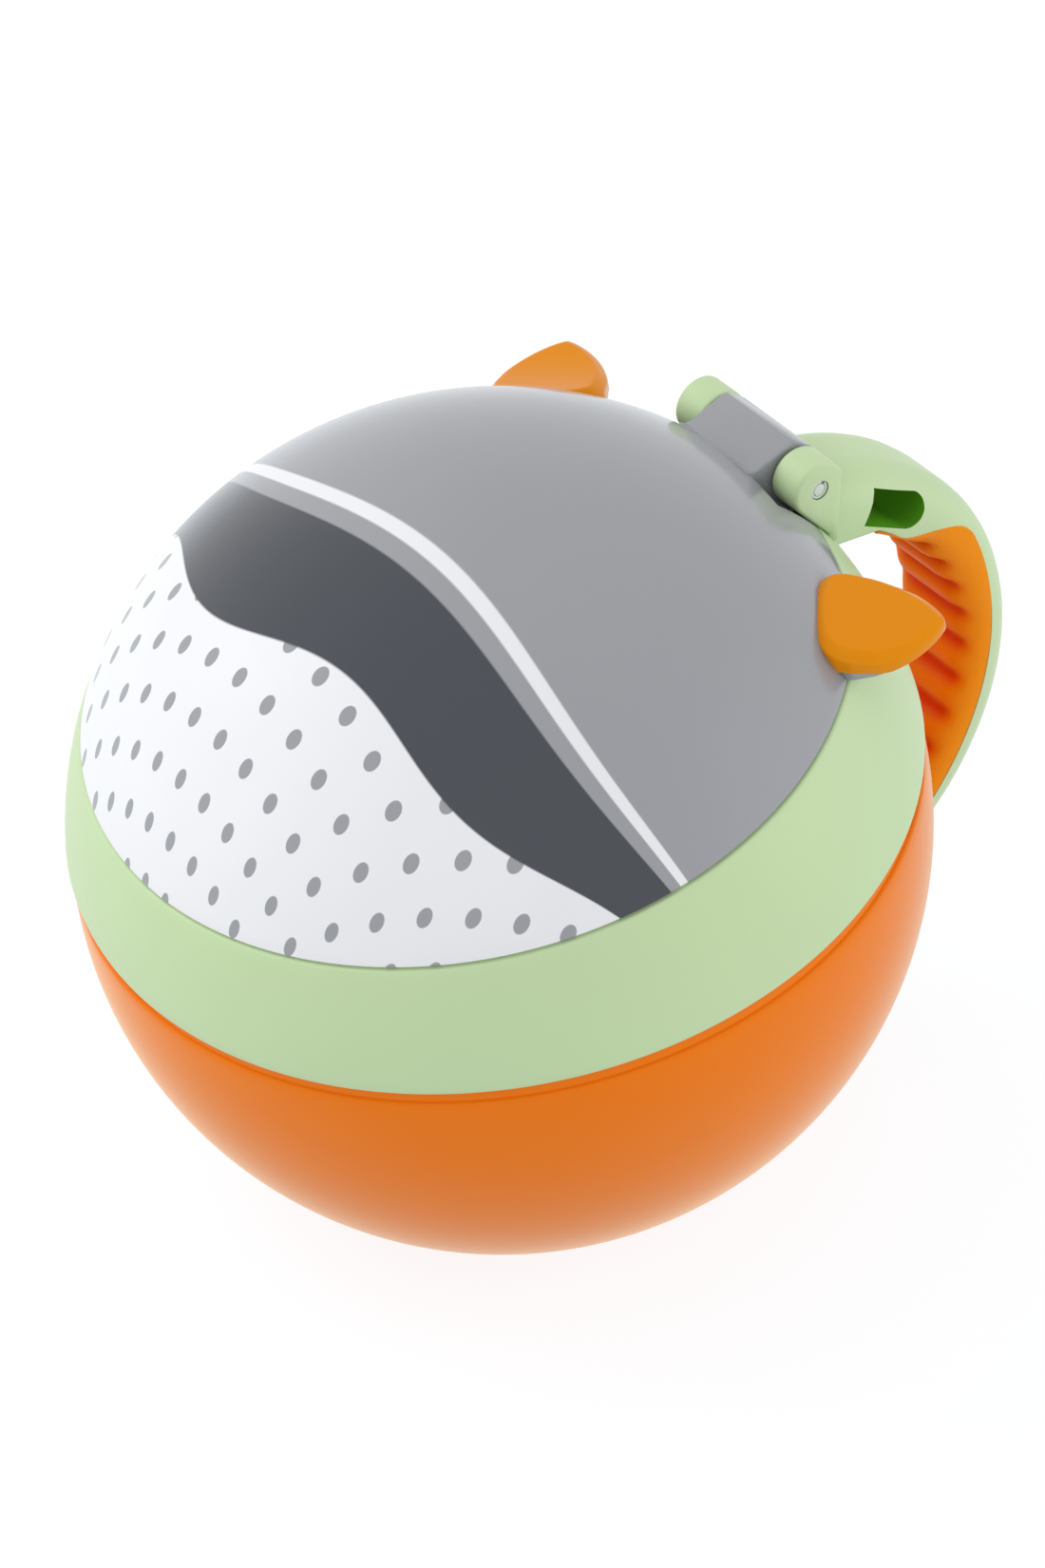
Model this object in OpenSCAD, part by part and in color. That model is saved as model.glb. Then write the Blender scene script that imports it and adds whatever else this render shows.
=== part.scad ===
// Toddler snack container: a ball-shaped cup with a hinged dome lid, a twist-off collar
// with soft finger flaps, a carrying handle and two ear-shaped lugs on the lid.
// Origin: centre of the flat base, on the table. +Z up, -Y front, +Y back (handle side).

/* [Ball] */
// Outer radius of the ball that the lid and the collar share
ball_r = 48; // [46:0.5:51]
// Radius of the flat base that the bowl rests on
base_r = 22; // [18:0.5:26]
// How far the collar's lower edge overhangs the bowl
lip_step = 0.5; // [0.3:0.1:0.9]

/* [Bowl] */
// Wall of the bowl and of its neck
bowl_wall = 2.4; // [1.8:0.1:3]
// Floor of the bowl
floor_t = 2.6; // [2:0.1:4]
// Height of the seam between bowl and collar above the ball's centre
bowl_seam_h = 7.4; // [5:0.2:9]
// Forward tilt of that seam, in degrees
bowl_tilt = 10; // [6:0.5:12]
// Height of the bowl's neck above the seam
neck_h = 5.6; // [5.2:0.2:6.4]
// Height of the smooth band under the collar
band_h = 1.6; // [1:0.1:2.4]

/* [Twist lock] */
// Number of lugs round the neck
lug_count = 4; // [3:1:5]
// Angle that one lug spans, in degrees
lug_span = 24; // [18:1:26]
// Radial reach of a lug
lug_reach = 1.1; // [0.8:0.1:1.3]
// Height of a lug
lug_h = 1.9; // [1.4:0.1:2]

/* [Collar] */
// Height of the seam between collar and lid above the ball's centre
lid_seam_h = 22.9; // [22:0.2:25]
// Forward tilt of that seam, in degrees
lid_tilt = 13; // [11:0.5:15]
// Thickness of the shelf that clamps the soft insert
shelf_t = 1.8; // [1.4:0.1:2.2]
// Width of the collar's rim from the ball's surface to the mouth, at the lid's seam
rim_w = 3; // [2.6:0.1:4]
// Width of the shelf inside the mouth
shelf_w = 2.7; // [2:0.1:3.4]

/* [Soft insert] */
// Thickness of the insert's clamped rim
insert_t = 2; // [1.6:0.1:2.4]
// Thickness of a flap
flap_t = 1.2; // [0.9:0.1:1.6]
// Number of flaps
flap_count = 6; // [5:1:8]
// Width of the insert's rim, from its edge to the flaps' roots
insert_rim = 13.65; // [12:0.05:15]
// Width of the slit between two flaps
slit_w = 0.8; // [0.5:0.1:1.2]
// Radius of the hole where the slits meet
slit_hole_r = 2.5; // [2:0.1:4]

/* [Lid] */
// Wall of the dome
lid_wall = 2.2; // [1.8:0.1:2.8]
// Thickness of the ring that plugs the collar's mouth
plug_t = 1.8; // [1.4:0.1:2.4]
// Depth of that ring below the seam
plug_depth = 3.2; // [2:0.1:3.4]

/* [Hinge] */
// Height of the hinge pin above the lid seam
pin_rise = 4.7; // [4.4:0.1:5.2]
// Radius of the hinge pin
pin_r = 1.1; // [0.8:0.05:1.3]
// Radius of the knuckles
knuckle_r = 3.3; // [3:0.1:3.6]
// Width of the lid's knuckle
lid_knuckle_w = 12; // [10:0.5:14]
// Width of each collar knuckle
bracket_w = 4.4; // [3.4:0.2:5]
// Length of the ramp from its crisp edge above the pin to the dome
ramp_run = 5.6; // [5:0.1:6]
// Drop of the ramp over that length
ramp_drop = 2.2; // [1.9:0.05:2.5]
// Height of the ramp's crisp edge above the pin
ramp_top = 3.9; // [3.6:0.1:4.2]
// Depth of a leg below the pin
leg_depth = 7.8; // [7:0.2:9]
// Distance from the pin to a leg's upright back
leg_reach = 3.1; // [2.8:0.1:3.6]

/* [Handle] */
// Radius of the curve that the fingers touch
grip_r = 29.6; // [28.6:0.2:30.6]
// Height of that curve's centre above the ball's centre
grip_rise = 2.5; // [1.5:0.1:3.5]
// How much larger the radius of the handle's outer curve is
handle_swell = 3; // [2.4:0.1:3.6]
// Height of that curve's centre above the ball's centre
handle_rise = 0.5; // [-0.5:0.1:1.5]
// Width of the handle
handle_w = 14; // [12:0.5:16]
// Rounding of the handle's outer edges
handle_edge = 4.6; // [4:0.1:5.2]
// Widest clear gap for fingers between ball and grip
finger_gap = 13; // [12:0.5:15]
// Thickness of the handle's skin behind the grip
spine_t = 4.1; // [3.6:0.1:4.6]
// Thickness of the soft grip pad
grip_t = 3.5; // [3:0.1:4]
// How much further in the grip reaches at its upper end
pad_lift = 3.8; // [3.2:0.1:4.4]
// Angle at which the free end stops, below the horizontal, in degrees
handle_end = 52; // [46:1:56]
// Depth of the arm below the hinge pin where it leaves the collar
arm_depth = 12; // [10.5:0.5:13]
// Length of the strap slot through the arm
slot_l = 8.6; // [6:0.2:9]
// Height of the strap slot
slot_h = 4.3; // [4.2:0.1:4.6]
// Number of finger ribs on the grip
rib_count = 12; // [8:1:14]
// Depth of the grooves between the ribs
rib_depth = 0.7; // [0.3:0.1:0.9]
// Width of the tenon that fixes the handle in the collar
tenon_w = 10; // [8:0.5:11]
// Length of that tenon
tenon_l = 8; // [7:0.5:8.5]
// Height of that tenon
tenon_h = 4.6; // [4:0.1:5]

/* [Ears] */
// Direction of each ear round the lid, from the side towards the back, in degrees
ear_turn = 50.2; // [45:0.2:54]
// Reach of an ear's tip beyond the lid's rim
ear_reach = 10; // [8:0.2:12]
// Reach of an ear's cap over the dome, inward from the lid's rim
ear_root = 3.8; // [3.2:0.1:4.2]
// Half the width of an ear
ear_half_w = 6.8; // [6:0.1:8]
// Thickness of the lid's flange under an ear cap
ear_flange_t = 1.2; // [0.9:0.1:1.6]
// Height of an ear cap's root above its flange
ear_cap_h = 5.1; // [4.8:0.1:5.6]
// Thickness of an ear cap at its tip
ear_tip_t = 0.6; // [0.5:0.1:0.9]
// Slope of an ear cap's top towards its tip, in degrees
ear_slope = 24; // [20:1:26]
// Width of the bevel round an ear cap's top
ear_bevel = 1; // [0.6:0.1:1.2]

/* [Fits] */
// Gap between lid and collar along their seam
lid_gap = 0.3; // [0.2:0.05:0.5]
// Gap between bowl and collar along their seam
seam_gap = 0.25; // [0.2:0.05:0.5]
// Free play between parts that pass each other
play = 0.35; // [0.3:0.05:0.5]
// Running clearance round the hinge pin
pin_fit = 0.05; // [0.02:0.01:0.1]
// Clearance round the handle's tenon
tenon_fit = 0.08; // [0.05:0.01:0.15]

/* [Hidden] */

fine = 128;              // facets asked of the large round surfaces
mid = 64;                // facets asked of the small ones
big = 3 * ball_r;        // half-spaces are cut with blocks of this size

ball_z = sqrt(ball_r * ball_r - base_r * base_r);
bowl_r = ball_r - lip_step;

// Heights in the bowl's tilted frame, from the ball's centre
shoulder_z = bowl_seam_h - seam_gap;
neck_top = bowl_seam_h + neck_h;
shelf_low = neck_top + insert_t;
shelf_top = shelf_low + shelf_t;

// Radii in the bowl's tilted frame
seam_r = sqrt(ball_r * ball_r - shelf_low * shelf_low);
socket_r = seam_r - 2.6;
neck_r = socket_r - lug_reach - play;
neck_bore = neck_r - bowl_wall;
insert_r = socket_r - play;
flap_root = insert_r - insert_rim;

// Hinge axis, in the lid's tilted frame and then upright
rim_r = sqrt(ball_r * ball_r - lid_seam_h * lid_seam_h);
mouth_r = rim_r - rim_w;
shelf_bore = mouth_r - shelf_w;
pin_yl = rim_r - 0.3;
pin_zl = lid_seam_h + pin_rise;
pin_y = pin_yl * cos(lid_tilt) - pin_zl * sin(lid_tilt);
pin_z = pin_yl * sin(lid_tilt) + pin_zl * cos(lid_tilt);
hinge_half = lid_knuckle_w / 2 + play + bracket_w;
leg_back = pin_y + leg_reach;

// The handle in the upright side view (y, z from the ball's centre)
grip_y = ball_r + finger_gap - grip_r;
bed_r = grip_r + grip_t;
handle_r = grip_r + handle_swell;
handle_y = grip_y + bed_r + spine_t - handle_r;
arm_low = pin_z - arm_depth;
pad_top = 54.5;          // direction in which the grip begins, seen from its curve's centre
pad_join = 27;           // direction from which the grip lies on the handle's skin
pad_turn = 19;           // angle over which it thins out, under the strap slot
pad_lip = 0.3;           // thickness that is left of it there
pad_start_r = grip_r - pad_lift;

// The free end is a disc that touches both curves
end_u = (grip_y - handle_y) * cos(handle_end) - (grip_rise - handle_rise) * sin(handle_end);
end_d = pow(grip_y - handle_y, 2) + pow(grip_rise - handle_rise, 2);
end_r = (handle_r * handle_r - grip_r * grip_r - end_d - 2 * grip_r * end_u) / (2 * (end_u + grip_r + handle_r));

plug_r = mouth_r - 1.5 * play;
flange_z = lid_seam_h + lid_gap / 2 + 0.1;
flange_root_r = rim_r - 2;
ear_tip_r = rim_r + ear_reach;
cap_root_r = rim_r - ear_root;
cap_z = flange_z + ear_flange_t;
cap_inset = 0.1;         // the flange shows this far round its cap

module upright() {
  translate([0, 0, ball_z]) children();
}

module bowl_frame() {
  translate([0, 0, ball_z]) rotate([bowl_tilt, 0, 0]) children();
}

module lid_frame() {
  translate([0, 0, ball_z]) rotate([lid_tilt, 0, 0]) children();
}

// Extrudes a side view (y, z) across the width w, centred on the middle plane
module side_view(w) {
  upright() rotate([90, 0, 90]) translate([0, 0, -w / 2]) linear_extrude(w) children();
}

// A block that fills everything above height z of the frame it stands in
module above(z) {
  translate([-big / 2, -big / 2, z]) cube(big);
}

module below(z) {
  translate([-big / 2, -big / 2, z - big]) cube(big);
}

function arc(cy, cz, r, a, b, n) =
  [for (i = [0:n]) [cy + r * cos(a + (b - a) * i / n), cz + r * sin(a + (b - a) * i / n)]];

// One ring of lugs between radii r_in and r_out, standing at height z
module lugs(r_in, r_out, z) {
  for (i = [0:lug_count - 1])
    rotate([0, 0, i * 360 / lug_count - lug_span / 2])
      rotate_extrude(angle = lug_span, $fn = fine)
        translate([r_in, z]) square([r_out - r_in, lug_h]);
}

// ---------------------------------------------------------------- bowl

module bowl_outside() {
  intersection() {
    upright() sphere(r = bowl_r, $fn = fine);
    bowl_frame() below(shoulder_z - band_h);
    above(0);
  }
  bowl_frame() intersection() {
    sphere(r = bowl_r - 0.3, $fn = fine);
    translate([0, 0, shoulder_z - band_h - 1]) cylinder(r = ball_r, h = band_h + 1, $fn = fine);
  }
  bowl_frame() translate([0, 0, shoulder_z - 1]) cylinder(r = neck_r, h = neck_top - shoulder_z + 1, $fn = fine);
}

module bowl_inside() {
  difference() {
    union() {
      bowl_frame() intersection() {
        sphere(r = bowl_r - bowl_wall, $fn = fine);
        below(shoulder_z - bowl_wall);
      }
      bowl_frame() cylinder(r = neck_bore, h = neck_top + 1, $fn = fine);
    }
    below(floor_t);
  }
}

module bowl() {
  color([0.87, 0.43, 0.13]) {
    difference() {
      bowl_outside();
      bowl_inside();
    }
    bowl_frame() lugs(neck_r - 0.5, neck_r + lug_reach, neck_top - lug_h - 0.3);
  }
}

// ---------------------------------------------------------------- collar

// Side view of a straight hinge leg with an upright back
module leg_outline() {
  polygon([[pin_y, pin_z], [leg_back, pin_z + 1], [leg_back, pin_z - leg_depth],
           [pin_y - knuckle_r, pin_z - leg_depth], [pin_y - 0.3 * knuckle_r, pin_z - 0.9 * knuckle_r]]);
}

module legs() {
  difference() {
    union() {
      side_view(2 * hinge_half) translate([pin_y, pin_z]) circle(r = knuckle_r, $fn = mid);
      difference() {
        side_view(2 * hinge_half) leg_outline();
        // the lid's dome passes in front of the legs
        intersection() {
          upright() sphere(r = ball_r + play, $fn = fine);
          lid_frame() above(lid_seam_h - lid_gap / 2);
        }
      }
    }
    side_view(lid_knuckle_w + 2 * play) leg_clear_outline();
  }
}

// Clears the middle of the hinge for the lid's knuckle
module leg_clear_outline() {
  translate([pin_y, pin_z]) circle(r = knuckle_r + play, $fn = mid);
  translate([pin_y - 2 * knuckle_r, pin_z - 2 * knuckle_r]) square([4 * knuckle_r, 4 * knuckle_r]);
}

module collar_ring() {
  intersection() {
    upright() sphere(r = ball_r, $fn = fine);
    bowl_frame() above(bowl_seam_h);
    lid_frame() below(lid_seam_h - lid_gap / 2);
  }
}

module tenon(grow) {
  upright() translate([-tenon_w / 2 - grow, pin_y + leg_reach - 0.5 - grow, arm_low + 1.4 - grow])
    cube([tenon_w + 2 * grow, tenon_l + 2 * grow, tenon_h + 2 * grow]);
}

module collar() {
  color([0.77, 0.87, 0.70]) {
    difference() {
      union() {
        collar_ring();
        legs();
      }
      bowl_frame() translate([0, 0, bowl_seam_h - 1]) cylinder(r = socket_r, h = shelf_low - bowl_seam_h + 1, $fn = fine);
      bowl_frame() cylinder(r = shelf_bore, h = shelf_top + 1, $fn = fine);
      intersection() {
        lid_frame() cylinder(r = mouth_r, h = lid_seam_h + 1, $fn = fine);
        bowl_frame() above(shelf_top);
      }
      upright() translate([-big / 2, pin_y, pin_z]) rotate([0, 90, 0]) cylinder(r = pin_r + 0.02, h = big, $fn = mid);
      tenon(tenon_fit);
    }
    bowl_frame() lugs(socket_r - lug_reach, socket_r + 0.5, bowl_seam_h + 0.6);
  }
}

// ---------------------------------------------------------------- handle

// The grip's inner face without its ribs, as a distance from the grip curve's centre
function pad_flat(a) = grip_r - (grip_r - pad_start_r) * max(0, a) / pad_top;

// Where the grip meets the handle
function pad_back(a) =
  let (t = min(1, max(0, (a - pad_join) / pad_turn)), thin = t * t * (3 - 2 * t))
  bed_r * (1 - thin) + (pad_flat(a) + pad_lip) * thin;

function bed_angle(i) = -handle_end + (pad_top + handle_end) * i / 48;

// The grip's inner face with its soft ribs, which fade out where the pad thins
function pad_front(a) =
  let (fade = max(0, min(1, (pad_join + pad_turn - a) / 12)),
       wave = (1 - cos(360 * rib_count * (a + handle_end) / (pad_top + handle_end))) / 2)
  pad_flat(a) + rib_depth * fade * wave;

function polar(a, r) = [grip_y + r * cos(a), grip_rise + r * sin(a)];

// Side view of the moulded handle: an arm from the collar that runs into a skin behind the grip
module handle_outline() {
  front_a = acos((leg_back + 0.05 - handle_y) / handle_r);
  tip = polar(-handle_end, grip_r + end_r);
  tip_a = atan2(tip[1] - handle_rise, tip[0] - handle_y);
  polygon(concat(
    arc(handle_y, handle_rise, handle_r, front_a, tip_a, 64),
    [tip],
    [for (i = [0:48]) let (a = bed_angle(i)) polar(a, pad_back(a))],
    [[leg_back + 0.05, arm_low + 1.5]]));
  translate(tip) circle(r = end_r, $fn = mid);
}

// A disc with rounded edges: everything inside the handle's outer face
module handle_round() {
  upright() translate([0, handle_y, handle_rise]) rotate([90, 0, 90]) rotate_extrude($fn = 2 * fine)
    polygon(concat([[0, -handle_w / 2]],
      arc(handle_r - handle_edge, -handle_w / 2 + handle_edge, handle_edge, -90, 0, 12),
      arc(handle_r - handle_edge, handle_w / 2 - handle_edge, handle_edge, 0, 90, 12),
      [[0, handle_w / 2]]));
}

// The slot stands a little above and behind the grip's upper end
module slot_outline() {
  translate(polar(pad_top, pad_start_r) + [2.8, 2.1]) rotate(-25) {
    translate([-slot_l / 2, -slot_h / 2]) square([slot_l - slot_h / 2, slot_h]);
    translate([slot_l / 2 - slot_h / 2, 0]) circle(d = slot_h, $fn = mid);
  }
}

module handle() {
  color([0.77, 0.87, 0.70]) difference() {
    union() {
      difference() {
        intersection() {
          side_view(handle_w) handle_outline();
          handle_round();
        }
        upright() sphere(r = ball_r, $fn = fine);
      }
      tenon(0);
    }
    side_view(handle_w + 2) slot_outline();
  }
}

// The pad ends in the first groove, beside the disc of the free end
module grip_outline() {
  steps = 10 * rib_count;
  low = (pad_top + handle_end) / (2 * rib_count) - handle_end;
  polygon(concat(
    [for (i = [48:-1:0]) let (a = bed_angle(i)) if (a > low) polar(a, pad_back(a))],
    [polar(low, bed_r)],
    [for (i = [0:steps - 1]) let (a = low + (pad_top - low) * i / steps) polar(a, pad_front(a))]));
}

module handle_grip() {
  color([0.91, 0.45, 0.10]) difference() {
    intersection() {
      side_view(handle_w - 0.2) grip_outline();
      handle_round();
    }
    side_view(handle_w + 2) translate(polar(-handle_end, grip_r + end_r)) circle(r = end_r, $fn = mid);
  }
}

// ---------------------------------------------------------------- soft insert

module flap_ring() {
  color([0.93, 0.55, 0.20]) bowl_frame() difference() {
    translate([0, 0, neck_top]) cylinder(r = insert_r, h = insert_t, $fn = fine);
    translate([0, 0, neck_top - 1]) linear_extrude(insert_t + 2) circle_flats(flap_root + flap_t / 2 + 0.1);
  }
}

// A regular polygon with flap_count sides whose flats lie at distance d from the centre
module circle_flats(d) {
  polygon([for (i = [0:flap_count - 1]) let (a = (i + 0.5) * 360 / flap_count, r = d / cos(180 / flap_count)) [r * cos(a), r * sin(a)]]);
}

module flap(i) {
  half = 180 / flap_count;
  root_half = flap_root * tan(half) - slit_w / 2 / cos(half);
  color([0.93, 0.55, 0.20]) bowl_frame() rotate([0, 0, i * 360 / flap_count]) translate([0, 0, neck_top + insert_t / 2]) {
    difference() {
      translate([0, 0, -flap_t / 2]) linear_extrude(flap_t)
        polygon([[slit_w / 2 / sin(half), 0], [flap_root, root_half], [flap_root, -root_half]]);
      translate([0, 0, -flap_t]) cylinder(r = slit_hole_r, h = 2 * flap_t, $fn = mid);
    }
    translate([flap_root, root_half, 0]) rotate([90, 0, 0]) cylinder(d = flap_t, h = 2 * root_half, $fn = mid);
  }
}

// ---------------------------------------------------------------- lid

// Outline of an ear in the lid's plane, pointing along +X from root_r to tip_r: a bowed root,
// widest over the lid's rim, and flanks that bow in to a round tip.
module ear_outline(root_r, tip_r, half_w) {
  polygon(concat(
    [for (i = [-16:16]) [rim_r + (tip_r - rim_r) * pow(1 - pow(abs(i) / 16, 1.25), 1 / 2.2), half_w * i / 16]],
    [for (i = [15:-1:-15]) [rim_r - (rim_r - root_r) * pow(1 - pow(abs(i) / 16, 2.5), 0.4), half_w * i / 16]]));
}

module ear_place(side) {
  lid_frame() mirror([side < 0 ? 1 : 0, 0, 0]) rotate([0, 0, ear_turn]) children();
}

module ear_flange(side) {
  ear_place(side) translate([0, 0, flange_z]) linear_extrude(ear_flange_t) {
    ear_outline(flange_root_r, ear_tip_r, ear_half_w);
    translate([flange_root_r, -ear_half_w]) square([rim_r - flange_root_r, 2 * ear_half_w]);
  }
}

// A thin slice of the cap's top, h above its underside at the root and sloping to the tip
module cap_slice(h, root_r, tip_r, half_w) {
  translate([root_r, 0, cap_z + h]) rotate([0, ear_slope, 0]) translate([-root_r, 0, -0.1])
    linear_extrude(0.1) ear_outline(root_r, tip_r, half_w);
}

module ear_cap(side) {
  shoulder_w = 0.76 * ear_half_w;
  shoulder_tip_r = cap_root_r + (ear_cap_h - ear_bevel / 2 - ear_tip_t) / sin(ear_slope);
  color([0.90, 0.52, 0.09]) difference() {
    ear_place(side) hull() {
      translate([0, 0, cap_z]) linear_extrude(ear_tip_t)
        ear_outline(cap_root_r, ear_tip_r - cap_inset, ear_half_w - cap_inset);
      cap_slice(ear_cap_h - ear_bevel / 2, cap_root_r, shoulder_tip_r, shoulder_w);
      cap_slice(ear_cap_h - ear_bevel * sin(ear_slope), cap_root_r + ear_bevel, shoulder_tip_r, shoulder_w - ear_bevel);
    }
    upright() sphere(r = ball_r, $fn = fine);
  }
}

module dome() {
  difference() {
    intersection() {
      upright() sphere(r = ball_r, $fn = fine);
      lid_frame() above(lid_seam_h + lid_gap / 2);
    }
    upright() sphere(r = ball_r - lid_wall, $fn = fine);
  }
}

module plug() {
  lid_frame() difference() {
    intersection() {
      translate([0, 0, lid_seam_h - plug_depth]) cylinder(r = plug_r, h = plug_depth + 9, $fn = fine);
      sphere(r = ball_r - lid_wall / 2, $fn = fine);
    }
    cylinder(r = plug_r - plug_t, h = ball_r, $fn = fine);
  }
}

// Side view of the lid's knuckle and the ramp that joins it to the dome
module knuckle_outline() {
  run_in = ramp_run + 0.9;
  translate([pin_y, pin_z]) circle(r = knuckle_r, $fn = mid);
  polygon([[pin_y, pin_z + ramp_top],
           [pin_y - run_in, pin_z + ramp_top - ramp_drop * run_in / ramp_run],
           [pin_y - 0.6 * knuckle_r, pin_z - 0.67 * knuckle_r],
           [pin_y + 0.7 * knuckle_r, pin_z + 0.7 * knuckle_r]]);
}

// One of the two notches in the dome's rim that clear the collar's knuckles and legs
module hinge_notch(side) {
  notch_in = (lid_knuckle_w + play) / 2;
  notch_out = hinge_half + play;
  translate([side * (notch_in + notch_out) / 2, 0, 0]) side_view(notch_out - notch_in) {
    translate([pin_y, pin_z]) circle(r = knuckle_r + play, $fn = mid);
    polygon([[pin_y - 0.6 * knuckle_r, pin_z - 1], [pin_y + 2 * knuckle_r, pin_z - 1],
             [pin_y + 2 * knuckle_r, pin_z - 2 * knuckle_r], [pin_y + 1, pin_z - 2 * knuckle_r]]);
  }
}

module lid_shell() {
  color([0.60, 0.60, 0.62]) difference() {
    union() {
      difference() {
        union() {
          dome();
          ear_flange(1);
          ear_flange(-1);
          side_view(lid_knuckle_w) knuckle_outline();
        }
        hinge_notch(1);
        hinge_notch(-1);
      }
      plug();
    }
    upright() translate([-big / 2, pin_y, pin_z]) rotate([0, 90, 0]) cylinder(r = pin_r + pin_fit, h = big, $fn = mid);
  }
}

module hinge_pin() {
  color([0.75, 0.76, 0.78]) upright() translate([-hinge_half, pin_y, pin_z]) rotate([0, 90, 0])
    cylinder(r = pin_r, h = 2 * hinge_half, $fn = mid);
}

bowl();
collar();
handle();
handle_grip();
flap_ring();
flap(0);  // flap_1
flap(1);  // flap_2
flap(2);  // flap_3
flap(3);  // flap_4
flap(4);  // flap_5
flap(5);  // flap_6
lid_shell();
ear_cap(-1);  // ear_cap_left
ear_cap(1);  // ear_cap_right
hinge_pin();
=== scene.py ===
"""Looks for a toddler snack container: a ball-shaped cup with a printed dome lid, a
twist-off collar with soft finger flaps, a carrying handle with a ribbed grip and two lugs."""

import math

import bmesh
import bpy
from bpy.props import FloatProperty, FloatVectorProperty, IntProperty, PointerProperty
from mathutils import Matrix, Vector


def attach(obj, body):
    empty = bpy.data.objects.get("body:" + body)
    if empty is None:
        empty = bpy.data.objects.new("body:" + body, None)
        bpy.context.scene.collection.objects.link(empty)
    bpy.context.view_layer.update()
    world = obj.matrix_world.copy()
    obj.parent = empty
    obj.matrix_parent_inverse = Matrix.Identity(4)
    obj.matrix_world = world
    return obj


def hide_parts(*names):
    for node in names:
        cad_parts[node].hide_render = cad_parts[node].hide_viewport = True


bl_info = {
    "name": "Snack Container",
    "version": (1, 0, 0),
    "blender": (4, 5, 0),
    "location": "3D View > Sidebar > Snack Container",
    "description": "Dresses a toddler snack container with moulded shells, a printed lid and a soft grip",
    "category": "Object",
}

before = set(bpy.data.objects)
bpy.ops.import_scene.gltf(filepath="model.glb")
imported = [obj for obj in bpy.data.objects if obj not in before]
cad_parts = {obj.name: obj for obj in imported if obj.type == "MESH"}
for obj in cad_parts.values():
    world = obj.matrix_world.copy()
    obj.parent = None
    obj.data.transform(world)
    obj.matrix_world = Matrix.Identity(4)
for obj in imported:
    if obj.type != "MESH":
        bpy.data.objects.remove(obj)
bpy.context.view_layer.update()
MM = 0.001
TURN = 2 * math.pi
WELD = 1e-6     # vertices closer than this, in metres, become one


# ---------------------------------------------------------------- sizes and colours

def length(name, text, millimetres):
    """A property that holds a length."""
    return FloatProperty(name=name, description=text, default=millimetres * MM, unit="LENGTH", precision=5)


def angle(name, text, degrees):
    """A property that holds an angle."""
    return FloatProperty(name=name, description=text, default=math.radians(degrees), subtype="ANGLE")


def linear(value):
    """A display value from 0 to 255 as linear light."""
    value /= 255
    return value / 12.92 if value <= 0.04045 else ((value + 0.055) / 1.055) ** 2.4


def colour(name, text, *rgb):
    """A property that holds a colour, given in display values."""
    return FloatVectorProperty(name=name, description=text, subtype="COLOR", min=0, max=1,
                               default=[linear(c) for c in rgb])


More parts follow.
